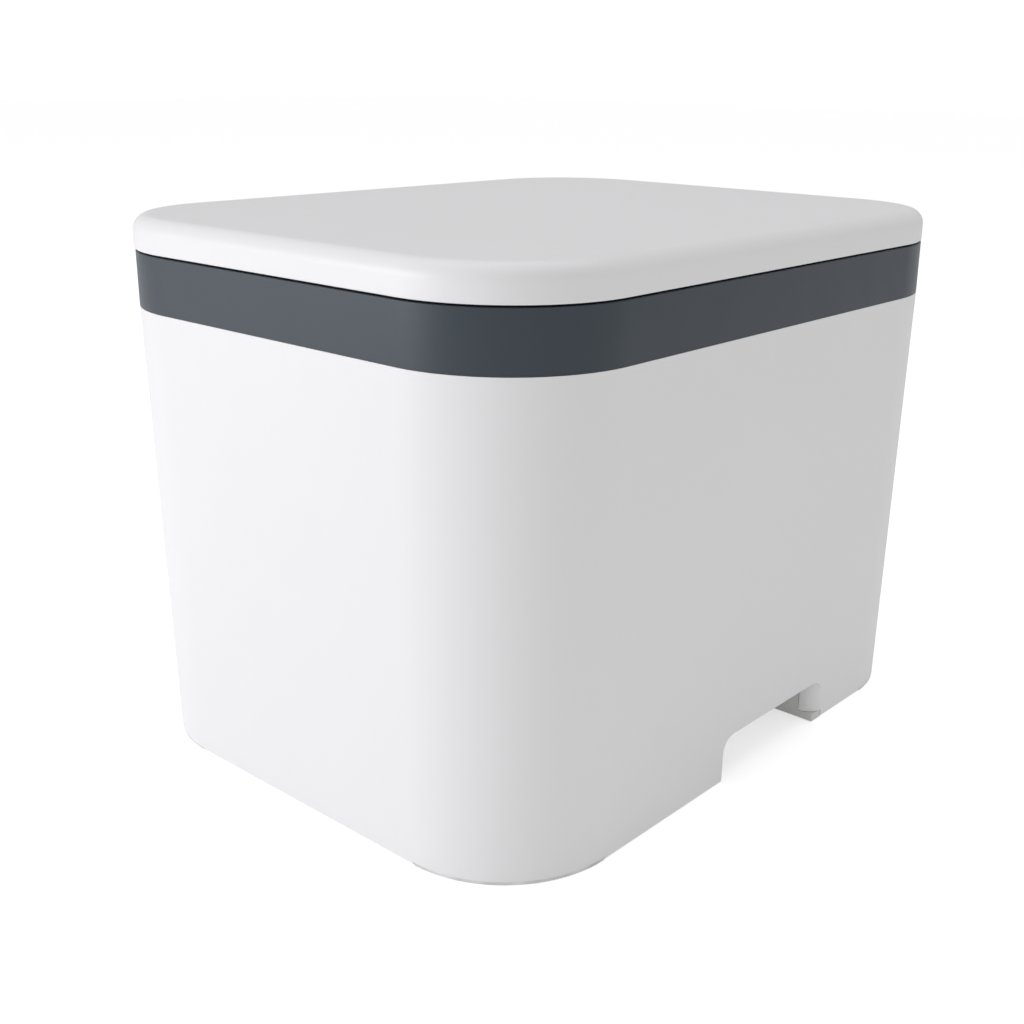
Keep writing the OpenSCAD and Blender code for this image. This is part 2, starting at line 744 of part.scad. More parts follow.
module hinge_leaves() color("silver") both_sides() translate([hinge_x, 0, 0]) {
    leaf_z = frame_z + frame_t;
    difference() {
        union() {
            rod_x(knuckle_r, -knuckle_half, knuckle_half, hinge_y, hinge_z);
            translate([-knuckle_half, 192.4, hinge_z]) cube([2 * knuckle_half, 2.2, leaf_z + 2 - hinge_z]);
            translate([-knuckle_half, leaf_screw_y - 7, leaf_z])
                cube([2 * knuckle_half, 201 - leaf_screw_y, 2]);
            translate([-knuckle_half, 193, hinge_z]) cube([2 * knuckle_half, 3, 3]);
        }
        rod_x(hinge_pin_r + run_fit, -20, 20, hinge_y, hinge_z);
        for (x = [-4, 4]) translate([x, leaf_screw_y, leaf_z - 1]) cylinder(h = 4, r = screw_r);
    }
}

module leaf_screws() color("gray") both_sides() for (x = [-4, 4])
    screw_down(hinge_x + x, leaf_screw_y, frame_z + frame_t + 2, 6, 1.4);

module gear_motor() color("silver") {
    rod_x(motor_r, motor_face_x - gearbox_len, motor_face_x, motor_y, pivot_z);
    end_x = motor_face_x - motor_len;
    rod_x(motor_r - 1.5, end_x, motor_face_x - gearbox_len + eps, motor_y, pivot_z);
    rod_x(5, end_x - 3, end_x + eps, motor_y, pivot_z);
    for (z = [-5, 5]) translate([end_x - 5, motor_y - 1, pivot_z + z - 1]) cube([5, 2, 2]);
    difference() {
        rod_x(6, motor_face_x - eps, motor_face_x + 2.5, motor_y, pivot_z);
        rod_x(3 + run_fit, motor_face_x - 1, motor_face_x + 4, motor_y, pivot_z);
    }
}

module motor_bracket() color("gray") difference() {
    union() {
        translate([motor_face_x, 138, 252]) cube([2.5, frame_back - 138, frame_z - 252]);
        translate([motor_face_x - 20, frame_back - cross_plate_w, frame_z - 2])
            cube([22, cross_plate_w, 2]);
    }
    rod_x(6, motor_face_x - 5, motor_face_x + 5, motor_y, pivot_z);
    rod_x(motor_r, motor_face_x - 25, motor_face_x, motor_y, pivot_z);
}

module bearing_ring(x, y, inner_r, outer_r) {
    difference() {
        union() {
            rod_x(outer_r, x, x + rail_t, y, pivot_z);
            rod_x(outer_r + 2, x + rail_t, x + rail_t + 1.5, y, pivot_z);
        }
        rod_x(inner_r, x - 1, x + 10, y, pivot_z);
    }
}

module shaft_bearings() color("darkgoldenrod") both_sides() {
    bearing_ring(rail_x, pivot_y, shaft_r + run_fit, shaft_r + 2);
    bearing_ring(rail_x, drive_y, drive_r + run_fit, bearing_r);
}

module control_board() color("darkgreen") {
    board_z = lid_top_in - 9;
    translate([-50, -40, board_z]) cube([100, 90, board_t]);
    for (x = [-46, 46]) for (y = [-36, 46])
        translate([x, y, board_z + board_t - 0.1])
            cylinder(h = lid_top_in - board_z - board_t + 0.1, r = 3);
    translate([-20, -10, board_z - 3]) cube([18, 18, 3 + eps]);
    translate([10, 10, board_z - 10]) cube([16, 22, 10 + eps]);
    translate([-42, 20, board_z - 8]) cube([14, 14, 8 + eps]);
}

module touch_board() color("darkgreen") {
    board_z = lid_top_in - 3;
    translate([-30, -125, board_z]) cube([60, 24, board_t]);
    for (x = [-18, 18]) translate([x, -113, board_z + board_t - 0.1])
        cylinder(h = lid_top_in - board_z - board_t + 0.1, r = 7);
}

module lock_solenoid() color("silver") {
    difference() {
        translate([-14, coil_front, bolt_z - 12]) cube([28, coil_back - coil_front, 24]);
        translate([-15, coil_front + 3, bolt_z - 9]) cube([30, coil_back - coil_front - 6, 18]);
        rod_y(plunger_r + 0.1, coil_front - 1, coil_back + 1, 0, bolt_z);
    }
    difference() {
        rod_y(8.5, coil_front + 3, coil_back - 3, 0, bolt_z);
        rod_y(plunger_r + 0.1, coil_front - 1, coil_back + 1, 0, bolt_z);
    }
}

module lid_magnet() color("gray") translate([43, -192, flange_z + flange_t]) cube([18, 8, 4]);

module lid_loom() color("black") {
    rod_y(2.2, 45, 186, -35, lid_top_in - 5.2);
    translate([-41, 42, lid_top_in - 9 + board_t]) cube([12, 8, 4]);
}

module limit_switches() color("black") both_sides() for (y = [slide_y0 - 16, slide_y1 + 6])
    translate([rail_x + rail_t + 1.5, y, pivot_z - 5]) cube([6, 10, 15]);

// ---------- lock bolt ----------

module lock_bolt() color("silver") {
    translate([-bolt_half_w, -187.5, bolt_z - bolt_t / 2]) cube([2 * bolt_half_w, 10.5, bolt_t]);
    rod_y(plunger_r, -178, -129, 0, bolt_z);
    rod_y(7, -130.5, -129, 0, bolt_z);
}

// Coil spring between the solenoid's rear plate and the plunger's collar
module lock_spring() color("silver") {
    coil_r = 5.2;
    wire_r = 0.45;
    turns = 4;
    sides = 6;
    rings = turns * 14;
    length = 10.4;
    y0 = coil_back + 0.5;
    points = [for (i = [0:rings]) for (k = [0:sides - 1])
        let (a = 360 * turns * i / rings, b = 360 * k / sides, r = coil_r + wire_r * cos(b))
        [r * cos(a), y0 + length * i / rings + wire_r * sin(b), bolt_z + r * sin(a)]];
    sides_faces = [for (i = [0:rings - 1]) for (k = [0:sides - 1]) let (n = (k + 1) % sides)
        [i * sides + k, i * sides + n, (i + 1) * sides + n, (i + 1) * sides + k]];
    first = [for (k = [sides - 1:-1:0]) k];
    last = [for (k = [0:sides - 1]) rings * sides + k];
    polyhedron(points, concat(sides_faces, [first, last]));
}

// ---------- scissor ----------

// Bar from the origin along -Y of the outline plane, with round ends
module link_outline(width, end_r) {
    translate([-arm_len, -width / 2]) square([arm_len, width]);
    circle(end_r);
    translate([-arm_len, 0]) circle(end_r);
    translate([-arm_len / 2, 0]) circle(end_r + 1);
}

module sector_outline() {
    pitch = 360 / sector_teeth;
    last = -4.5 * pitch;
    first = 0.5 * pitch;
    reach = 60;
    intersection() {
        gear_outline(sector_module, sector_teeth, 0);
        polygon([[0, 0], polar(reach, last), polar(reach, (first + last) / 2), polar(reach, first)]);
    }
}

module sector_arms() color("silver") both_sides() difference() {
    along_x(lift_arm_x, lift_arm_x + arm_t) translate([pivot_y, pivot_z]) difference() {
        union() {
            rotate(arm_rest) link_outline(13, 7.5);
            circle(12);
            sector_outline();
        }
        circle(shaft_r);
        rotate(arm_rest) translate([-arm_len / 2, 0]) circle(centre_pin_r + run_fit);
        rotate(arm_rest) translate([-arm_len, 0]) circle(slide_pin_r);
    }
}

module pivot_shaft() color("gray")
    rod_x(shaft_r, -rail_x - rail_t - 2, rail_x + rail_t + 2, pivot_y, pivot_z);

module lower_slide_pins() color("gray") both_sides() {
    rod_x(slide_pin_r, lift_arm_x - 1, rail_x + rail_t + 1.5, slide_y0, low_z);
    rod_x(slide_pin_r + 1.2, lift_arm_x - 1.6, lift_arm_x - eps, slide_y0, low_z);
}

module slide_bush(y, z) {
    difference() {
        rod_x(bush_r, rail_x - 0.5, rail_x + rail_t + 0.5, y, z);
        rod_x(slide_pin_r, rail_x - 2, rail_x + rail_t + 2, y, z);
    }
}

module lower_bushes() color("ivory") both_sides() slide_bush(slide_y0, low_z);

module cross_arms() color("silver") both_sides()
    along_x(cross_arm_x, cross_arm_x + arm_t) translate([pivot_y, low_z]) rotate(-arm_rest)
        difference() {
            link_outline(13, 7.5);
            circle(centre_pin_r + run_fit);
            translate([-arm_len / 2, 0]) circle(centre_pin_r);
            translate([-arm_len, 0]) circle(slide_pin_r);
        }

module upper_slide_pins() color("gray") both_sides() {
    rod_x(slide_pin_r, cross_arm_x - 1, rail_x + rail_t + 1.2, slide_y0, pivot_z);
    rod_x(slide_pin_r + 1.2, cross_arm_x - 1.6, cross_arm_x - eps, slide_y0, pivot_z);
}

module upper_bushes() color("ivory") both_sides() slide_bush(slide_y0, pivot_z);

module centre_pins() color("gray") both_sides() {
    mid_y = (pivot_y + slide_y0) / 2;
    mid_z = (pivot_z + low_z) / 2;
    rod_x(centre_pin_r, cross_arm_x - 0.5, lift_arm_x + arm_t + 0.2, mid_y, mid_z);
    rod_x(centre_pin_r + 1.6, cross_arm_x - 2, cross_arm_x - eps, mid_y, mid_z);
    rod_x(centre_pin_r + 1.2, lift_arm_x + arm_t + 0.2, rail_x - 1.2, mid_y, mid_z);
}

// ---------- press plate ----------

module press_plate() color("gainsboro") difference() {
    union() {
        plan_slab(press_half_w, press_front, press_rear, press_r, press_z, press_z + face_t);
        plan_ring(press_half_w, press_front, press_rear, press_r, 2.5, press_z, press_top);
        intersection() {
            plan_slab(press_half_w - 1, press_front + 1, press_rear - 1, press_r - 1,
                press_z + 1, press_top);
            union() {
                for (x = [-66, -22, 22, 66]) translate([x - 1, -200, press_z]) cube([2, 400, 20]);
                for (y = [-116, -60, -4, 52, 108]) translate([-150, y - 1, press_z])
                    cube([300, 2, 20]);
                both_sides() translate([lug_x - 14, pivot_y - 18, press_z]) cube([20, 36, 20]);
                both_sides() translate([98, -158, press_z]) cube([14, 96, 20]);
            }
        }
    }
    both_sides() for (p = plate_screw_points())
        translate([p[0], p[1], press_top - 7]) cylinder(h = 8, r = screw_r);
}

function plate_screw_points() = concat(
    [for (y = [-11, 11]) [lug_x - 6, pivot_y + y]],
    [for (y = [-128, -100, -72]) [103, y]]);

module pivot_lugs() color("silver") both_sides() difference() {
    union() {
        along_x(lug_x, lug_x + lug_t) {
            translate([pivot_y - 8, press_top]) square([16, low_z - press_top]);
            translate([pivot_y, low_z]) circle(8);
        }
        translate([lug_x - 12, pivot_y - 16, press_top]) cube([12 + lug_t, 32, foot_t]);
    }
    rod_x(centre_pin_r, lug_x - 5, lug_x + 10, pivot_y, low_z);
    for (p = plate_screw_points())
        translate([p[0], p[1], press_top - 1]) cylinder(h = 5, r = screw_r);
}

module slide_brackets() color("silver") both_sides() difference() {
    union() {
        along_x(rail_x, rail_x + rail_t) difference() {
            translate([-156, press_top]) square([92, low_z + 6.4 - press_top]);
            slot_outline(low_z);
        }
        translate([99.5, -156, press_top]) cube([10, 92, foot_t]);
    }
    for (p = plate_screw_points())
        translate([p[0], p[1], press_top - 1]) cylinder(h = 5, r = screw_r);
}

module lug_pins() color("gray") both_sides() {
    rod_x(centre_pin_r, lug_x - 2, cross_arm_x + arm_t + 0.6, pivot_y, low_z);
    rod_x(centre_pin_r + 1.5, lug_x - 3.5, lug_x - eps, pivot_y, low_z);
}

module plate_screws() color("gray") both_sides() for (p = plate_screw_points())
    screw_down(p[0], p[1], press_top + foot_t, 8, 1.5);

// ---------- gear train ----------

module drive_shaft() color("gray")
    rod_x(drive_r, -rail_x - rail_t - 2, rail_x + rail_t + 2, drive_y, pivot_z);

module drive_pinions() color("silver") both_sides()
    along_x(lift_arm_x - 0.5, lift_arm_x + arm_t + 0.5) translate([drive_y, pivot_z])
        difference() {
            gear_outline(sector_module, pinion_teeth, 180 / pinion_teeth);
            circle(drive_r);
        }

module shaft_gear() color("ivory") {
    along_x(wheel_x, wheel_x + wheel_w) translate([drive_y, pivot_z]) difference() {
        gear_outline(1, wheel_teeth, 0);
        circle(drive_r);
        for (a = [0:60:300]) rotate(a) translate([12, 0]) circle(3);
    }
    difference() {
        rod_x(7, wheel_x + wheel_w - eps, wheel_x + wheel_w + 6, drive_y, pivot_z);
        rod_x(drive_r, wheel_x, wheel_x + wheel_w + 10, drive_y, pivot_z);
    }
}

module motor_gear() color("darkgoldenrod") {
    along_x(wheel_x, wheel_x + wheel_w) translate([motor_y, pivot_z])
        gear_outline(1, motor_teeth, 180 / motor_teeth);
    rod_x(3, motor_face_x, wheel_x + wheel_w + 2, motor_y, pivot_z);
}

outer_shell();
collar_ring();
base_tray();
base_deck();
corner_feet();
base_screws();
deck_screws();
inner_bin();
hinge_brackets();
hinge_pins();
hinge_screws();
strike_plate();
strike_screws();
power_inlet();
switch_housing();
rocker_button();
power_board();
transformer();
capacitors();
body_loom();
lid_sensor();
lid_cover();
lid_gasket();
lid_liner();
liner_screws();
press_frame();
frame_screws();
hinge_leaves();
leaf_screws();
gear_motor();
motor_bracket();
shaft_bearings();
control_board();
touch_board();
lock_solenoid();
lid_magnet();
lid_loom();
limit_switches();
lock_bolt();
lock_spring();
sector_arms();
pivot_shaft();
lower_slide_pins();
lower_bushes();
cross_arms();
upper_slide_pins();
upper_bushes();
centre_pins();
press_plate();
pivot_lugs();
slide_brackets();
lug_pins();
plate_screws();
drive_shaft();
drive_pinions();
shaft_gear();
motor_gear();
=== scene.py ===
"""Looks of the trash compactor: moulded case, band, lid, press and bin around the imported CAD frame."""

import json
import math

import bmesh
import bpy
from mathutils import Matrix, Vector


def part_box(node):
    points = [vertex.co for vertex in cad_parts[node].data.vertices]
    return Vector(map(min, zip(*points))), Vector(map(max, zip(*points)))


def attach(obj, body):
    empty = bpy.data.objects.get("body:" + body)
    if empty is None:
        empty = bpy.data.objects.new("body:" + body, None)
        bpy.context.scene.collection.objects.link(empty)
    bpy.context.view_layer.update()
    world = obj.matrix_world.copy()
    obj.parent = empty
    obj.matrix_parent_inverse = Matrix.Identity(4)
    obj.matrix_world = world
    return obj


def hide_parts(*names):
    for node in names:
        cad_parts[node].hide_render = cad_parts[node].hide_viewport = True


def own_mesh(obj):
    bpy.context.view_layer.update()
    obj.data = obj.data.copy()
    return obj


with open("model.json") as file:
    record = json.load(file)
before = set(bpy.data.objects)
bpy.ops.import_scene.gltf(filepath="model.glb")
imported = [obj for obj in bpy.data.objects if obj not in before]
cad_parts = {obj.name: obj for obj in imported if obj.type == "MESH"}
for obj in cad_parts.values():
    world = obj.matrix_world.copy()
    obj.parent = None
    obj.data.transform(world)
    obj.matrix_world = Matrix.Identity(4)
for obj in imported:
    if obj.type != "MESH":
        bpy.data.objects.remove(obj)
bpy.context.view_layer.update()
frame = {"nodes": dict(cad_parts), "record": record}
MM = 0.001
NODE_BODY = {n: b for b, names in frame["record"]["behaviour"]["bodies"].items() for n in names}
NODE_SLOT = {s["node"]: s["material_slot"] for s in frame["record"]["subparts"]}


# ---------------------------------------------------------------- dimensions

SHELL_LOW, SHELL_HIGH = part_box("outer_shell")
BAND_LOW, BAND_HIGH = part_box("collar_ring")
LID_LOW, LID_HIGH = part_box("lid_cover")
BAND_Z = SHELL_HIGH.z
PIN_LOW, PIN_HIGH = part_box("hinge_pins")
HINGE_Z = (PIN_LOW.z + PIN_HIGH.z) / 2
CORNER_R = 72 * MM                  # upright corners at the band
DRAFT = 0.018                       # inward lean of the shell, per unit of height
SHELL_WALL = 3 * MM
BAND_WALL = 2.8 * MM
SEAM = 0.12 * MM                    # hairline between shell and band
ARC_STEPS = 28                      # segments in a quarter turn of a large corner


# ---------------------------------------------------------------- materials

def new_material(name, roughness, metallic=0.0, coat=0.0, sheen=0.0, ior=1.46):
    """A Principled material and its tree; colour, roughness and bump are added by the callers."""
    material = bpy.data.materials.new(name)
    material.use_nodes = True
    tree = material.node_tree
    tree.nodes.clear()
    shader = tree.nodes.new("ShaderNodeBsdfPrincipled")
    shader.inputs["Roughness"].default_value = roughness
    shader.inputs["Metallic"].default_value = metallic
    shader.inputs["Coat Weight"].default_value = coat
    shader.inputs["Coat Roughness"].default_value = 0.08
    shader.inputs["Sheen Weight"].default_value = sheen
    shader.inputs["IOR"].default_value = ior
    output = tree.nodes.new("ShaderNodeOutputMaterial")
    tree.links.new(shader.outputs["BSDF"], output.inputs["Surface"])
    return material, tree, shader


def surface_coordinates(tree, stretch=(1, 1, 1)):
    """Object-space coordinates, stretched along the axes for grain that has a direction."""
    coordinates = tree.nodes.new("ShaderNodeTexCoord")
    mapping = tree.nodes.new("ShaderNodeMapping")
    mapping.inputs["Scale"].default_value = stretch
    tree.links.new(coordinates.outputs["Object"], mapping.inputs["Vector"])
    return mapping.outputs["Vector"]


def noise(tree, vector, scale, detail=3.0):
    texture = tree.nodes.new("ShaderNodeTexNoise")
    texture.inputs["Scale"].default_value = scale
    texture.inputs["Detail"].default_value = detail
    tree.links.new(vector, texture.inputs["Vector"])
    return texture.outputs["Fac"]


def ramp(tree, factor, low, high, from_min=0.3, from_max=0.7):
    """Maps a factor to a range of plain numbers."""
    node = tree.nodes.new("ShaderNodeMapRange")
    node.inputs["From Min"].default_value = from_min
    node.inputs["From Max"].default_value = from_max
    node.inputs["To Min"].default_value = low
    node.inputs["To Max"].default_value = high
    tree.links.new(factor, node.inputs["Value"])
    return node.outputs["Result"]


def two_colours(tree, factor, first, second):
    mix = tree.nodes.new("ShaderNodeMix")
    mix.data_type = "RGBA"
    tree.links.new(factor, mix.inputs["Factor"])
    mix.inputs["A"].default_value = (*first, 1)
    mix.inputs["B"].default_value = (*second, 1)
    return mix.outputs["Result"]


def shade(colour, factor):
    return tuple(min(1.0, c * factor) for c in colour)


def add_bump(tree, shader, height, distance, strength=1.0):
    bump = tree.nodes.new("ShaderNodeBump")
    bump.inputs["Strength"].default_value = strength
    bump.inputs["Distance"].default_value = distance
    tree.links.new(height, bump.inputs["Height"])
    tree.links.new(bump.outputs["Normal"], shader.inputs["Normal"])


def moulded_plastic(name, colour, roughness, grain=900, grain_depth=0.02 * MM, spread=0.02, coat=0.0):
    """Moulded plastic: a slight drift of colour and gloss over the part, and a fine spark grain."""
    material, tree, shader = new_material(name, roughness, coat=coat)
    vector = surface_coordinates(tree)
    drift = noise(tree, vector, 7, 2)
    factor = ramp(tree, drift, 0, 1)
    tree.links.new(two_colours(tree, factor, shade(colour, 1 - spread), shade(colour, 1 + spread)),
        shader.inputs["Base Color"])
    patches = noise(tree, vector, 38, 4)
    tree.links.new(ramp(tree, patches, roughness - 0.035, roughness + 0.035), shader.inputs["Roughness"])
    add_bump(tree, shader, noise(tree, vector, grain, 2), grain_depth, 0.6)
    return material


def plated_steel(name, colour, roughness, stretch, depth=0.015 * MM):
    """Rolled or turned steel: fine lines along one direction, and patches of a duller film."""
    material, tree, shader = new_material(name, roughness, metallic=1.0)
    lines = noise(tree, surface_coordinates(tree, stretch), 60, 5)
    patches = noise(tree, surface_coordinates(tree), 55, 4)
    factor = ramp(tree, patches, 0, 1)
    tree.links.new(two_colours(tree, factor, shade(colour, 0.86), shade(colour, 1.06)),
        shader.inputs["Base Color"])
    tree.links.new(ramp(tree, lines, roughness - 0.09, roughness + 0.12), shader.inputs["Roughness"])
    add_bump(tree, shader, lines, depth, 0.7)
    return material


def cast_alloy(name, colour):
    """Blasted aluminium casting: a sandy surface."""
    material, tree, shader = new_material(name, 0.48, metallic=1.0)
    vector = surface_coordinates(tree)
    sand = noise(tree, vector, 1400, 3)
    clouds = noise(tree, vector, 16, 4)
    tree.links.new(two_colours(tree, ramp(tree, clouds, 0, 1), shade(colour, 0.88), colour),
        shader.inputs["Base Color"])
    tree.links.new(ramp(tree, clouds, 0.42, 0.56), shader.inputs["Roughness"])
    add_bump(tree, shader, sand, 0.05 * MM)
    return material


def circuit_board(name, colour):
    """Solder mask with raised copper tracks under it."""
    material, tree, shader = new_material(name, 0.3, coat=0.3)
    vector = surface_coordinates(tree)
    tracks = tree.nodes.new("ShaderNodeTexBrick")
    tracks.inputs["Scale"].default_value = 140
    tracks.inputs["Mortar Size"].default_value = 0.05
    tracks.inputs["Color1"].default_value = (*colour, 1)
    tracks.inputs["Color2"].default_value = (*shade(colour, 0.8), 1)
    tracks.inputs["Mortar"].default_value = (*shade(colour, 1.9), 1)
    tree.links.new(vector, tracks.inputs["Vector"])
    tree.links.new(tracks.outputs["Color"], shader.inputs["Base Color"])
    add_bump(tree, shader, tracks.outputs["Fac"], 0.04 * MM)
    return material


def soft_rubber(name, colour, roughness):
    material, tree, shader = new_material(name, roughness, sheen=0.15)
    vector = surface_coordinates(tree)
    dust = noise(tree, vector, 90, 5)
    tree.links.new(two_colours(tree, ramp(tree, dust, 0, 1), colour, shade(colour, 1.35)),
        shader.inputs["Base Color"])
    add_bump(tree, shader, noise(tree, vector, 1500, 2), 0.03 * MM)
    return material


def braided_sleeve(name, colour):
    """Woven cable sleeve: two crossing sets of threads."""
    material, tree, shader = new_material(name, 0.62, sheen=0.3)
    heights = []
    for lean in (1, -1):
        wave = tree.nodes.new("ShaderNodeTexWave")
        wave.wave_type = "BANDS"
        wave.bands_direction = "DIAGONAL"
        wave.inputs["Scale"].default_value = 260
        tree.links.new(surface_coordinates(tree, (1, lean, 1)), wave.inputs["Vector"])
        heights.append(wave.outputs["Fac"])
    cross = tree.nodes.new("ShaderNodeMath")
    cross.operation = "MAXIMUM"
    tree.links.new(heights[0], cross.inputs[0])
    tree.links.new(heights[1], cross.inputs[1])
    tree.links.new(two_colours(tree, cross.outputs["Value"], shade(colour, 0.5), shade(colour, 2.2)),
        shader.inputs["Base Color"])
    add_bump(tree, shader, cross.outputs["Value"], 0.15 * MM)
    return material


def taped_winding(name, colour):
    """Yellow tape wound round a transformer, in bands."""
    material, tree, shader = new_material(name, 0.35)
    wave = tree.nodes.new("ShaderNodeTexWave")
    wave.bands_direction = "Z"
    wave.inputs["Scale"].default_value = 90
    tree.links.new(surface_coordinates(tree), wave.inputs["Vector"])
    tree.links.new(two_colours(tree, wave.outputs["Fac"], shade(colour, 0.75), shade(colour, 1.15)),
        shader.inputs["Base Color"])
    add_bump(tree, shader, wave.outputs["Fac"], 0.08 * MM)
    return material


def build_materials():
    """One material for each of the record's slots."""
    return {
        "case_white": moulded_plastic("case_white", (0.86, 0.858, 0.862), 0.38, 1100, 0.006 * MM, 0.006),
        "band_slate": moulded_plastic("band_slate", (0.038, 0.052, 0.066), 0.36, 1100, 0.006 * MM, 0.03),
        "tray_grey": moulded_plastic("tray_grey", (0.70, 0.70, 0.69), 0.5, 700),
        "bin_grey": moulded_plastic("bin_grey", (0.105, 0.115, 0.125), 0.42, 600, 0.03 * MM, 0.06),
        "liner_grey": moulded_plastic("liner_grey", (0.30, 0.325, 0.35), 0.45, 600, 0.03 * MM, 0.04),
        "foot_grey": soft_rubber("foot_grey", (0.62, 0.62, 0.62), 0.6),
        "seal_dark": soft_rubber("seal_dark", (0.03, 0.03, 0.035), 0.55),
        "black_plastic": moulded_plastic("black_plastic", (0.018, 0.018, 0.02), 0.4, 800, 0.03 * MM, 0.1),
        "board_green": circuit_board("board_green", (0.02, 0.13, 0.05)),
        "component": moulded_plastic("component", (0.05, 0.065, 0.15), 0.3, 400, 0.02 * MM, 0.1),
        "winding": taped_winding("winding", (0.72, 0.46, 0.08)),
        "zinc_steel": plated_steel("zinc_steel", (0.63, 0.65, 0.68), 0.34, (6, 1, 6)),
        "bright_steel": plated_steel("bright_steel", (0.72, 0.73, 0.74), 0.2, (25, 1, 1), 0.006 * MM),
        "cast_alloy": cast_alloy("cast_alloy", (0.74, 0.75, 0.76)),
        "acetal": moulded_plastic("acetal", (0.83, 0.81, 0.74), 0.38, 500, 0.02 * MM, 0.02),
        "sintered": plated_steel("sintered", (0.62, 0.44, 0.20), 0.4, (3, 3, 3), 0.03 * MM),
        "cable_black": braided_sleeve("cable_black", (0.03, 0.03, 0.034)),
    }


# ---------------------------------------------------------------- mesh building

def rounded_plan(half_x, y_low, y_high, front_r, rear_r, steps=ARC_STEPS):
    """Points of a rounded outline, anticlockwise from the +X side's front end, with their outward normals."""
    corners = [
        (half_x - front_r, y_low + front_r, front_r, -90),
        (half_x - rear_r, y_high - rear_r, rear_r, 0),
        (-half_x + rear_r, y_high - rear_r, rear_r, 90),
        (-half_x + front_r, y_low + front_r, front_r, 180),
    ]
    points = []
    for x, y, r, start in corners:
        for i in range(steps + 1):
            a = math.radians(start + 90 * i / steps)
            normal = Vector((math.cos(a), math.sin(a), 0))
            points.append((Vector((x, y, 0)) + normal * r, normal))
    return points


def new_object(name, bm, material, body):
    bmesh.ops.recalc_face_normals(bm, faces=bm.faces)
    mesh = bpy.data.meshes.new(name)
    bm.to_mesh(mesh)
    bm.free()
    mesh.shade_smooth()
    piece = bpy.data.objects.new(name, mesh)
    bpy.context.scene.collection.objects.link(piece)
    mesh.materials.append(MATERIALS[material])
    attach(piece, body)
    return piece


def loft(plan, section, closed):
    """Sweeps a section, a list of (depth inward, height), round an outline. A section that isn't
    closed runs from the middle of the upper face out, down, and back to the middle underneath."""
    bm = bmesh.new()
    rings = []
    for depth, z in section:
        rings.append([bm.verts.new((p.x - n.x * depth, p.y - n.y * depth, z)) for p, n in plan])
    count = len(plan)
    spans = len(rings) if closed else len(rings) - 1
    for j in range(spans):
        a, b = rings[j], rings[(j + 1) % len(rings)]
        for i in range(count):
            k = (i + 1) % count
            bm.faces.new((a[i], a[k], b[k], b[i]))
    if not closed:
        bm.faces.new(rings[0])
        bm.faces.new(rings[-1])
    return bm


def modify(piece, kind, **settings):
    modifier = piece.modifiers.new(kind.lower(), kind)
    for key, value in settings.items():
        setattr(modifier, key, value)
    return modifier


def bake_modifiers(piece):
    """Applies a piece's modifiers to its mesh."""
    bpy.context.view_layer.update()
    evaluated = piece.evaluated_get(bpy.context.evaluated_depsgraph_get())
    mesh = bpy.data.meshes.new_from_object(evaluated)
    old = piece.data
    piece.modifiers.clear()
    piece.data = mesh
    bpy.data.meshes.remove(old)


def cut(piece, cutter, operation="DIFFERENCE"):
    """Takes the cutter's solid out of the piece, or joins it on, and deletes the cutter."""
    modify(piece, "BOOLEAN", operation=operation, solver="EXACT", object=cutter)
    bake_modifiers(piece)
    bpy.data.objects.remove(cutter)


def finish_edges(piece, width, angle=28, segments=3):
    """Rounds the sharp edges by a moulding radius and keeps the flat faces flat in the shading."""
    modify(piece, "BEVEL", width=width, segments=segments, limit_method="ANGLE",
        angle_limit=math.radians(angle), use_clamp_overlap=True, harden_normals=False)
    bake_modifiers(piece)
    piece.data.shade_smooth()
    modify(piece, "WEIGHTED_NORMAL", keep_sharp=True, weight=90, mode="FACE_AREA")
    bake_modifiers(piece)


def solid_between(name, first, second):
    """Closed solid between two outlines with equally many points, for cutting or joining."""
    bm = bmesh.new()
    ends = [[bm.verts.new(point) for point in outline] for outline in (first, second)]
    count = len(first)
    bm.faces.new(ends[0])
    bm.faces.new(ends[1])
    for i in range(count):
        k = (i + 1) % count
        bm.faces.new((ends[0][i], ends[0][k], ends[1][k], ends[1][i]))
    bmesh.ops.recalc_face_normals(bm, faces=bm.faces)
    mesh = bpy.data.meshes.new(name)
    bm.to_mesh(mesh)
    bm.free()
    solid = bpy.data.objects.new(name, mesh)
    bpy.context.scene.collection.objects.link(solid)
    return solid


def prism(name, outline, x_low, x_high):
    """Solid of a (y, z) outline between two x planes."""
    return solid_between(name, *[[(x, y, z) for y, z in outline] for x in (x_low, x_high)])


def fillet(radius, angles):
    """Sine and cosine parts of a rounded edge at each angle."""
    return [(radius * math.sin(math.radians(a)), radius * math.cos(math.radians(a))) for a in angles]


def arc_points(y, z, radius, start, end, steps=10):
    return [(y + radius * math.cos(math.radians(a)), z + radius * math.sin(math.radians(a)))
        for a in (start + (end - start) * i / steps for i in range(steps + 1))]


# ---------------------------------------------------------------- case pieces

GRIP_LOW = -26.5 * MM
GRIP_HIGH = 81 * MM
GRIP_TOP = 27 * MM
GRIP_FRONT_R = 9 * MM
GRIP_REAR_R = 14 * MM
JAMB_R = 10 * MM                    # rounded rear jamb of a grip
JAMB_LOW = 5.2 * MM
JAMB_HIGH = 30 * MM


def grip_outline():
    below = -5 * MM
    return ([(GRIP_LOW, below)]
        + arc_points(GRIP_LOW + GRIP_FRONT_R, GRIP_TOP - GRIP_FRONT_R, GRIP_FRONT_R, 180, 90)
        + arc_points(GRIP_HIGH - GRIP_REAR_R, GRIP_TOP - GRIP_REAR_R, GRIP_REAR_R, 90, 0)
        + [(GRIP_HIGH, below)])


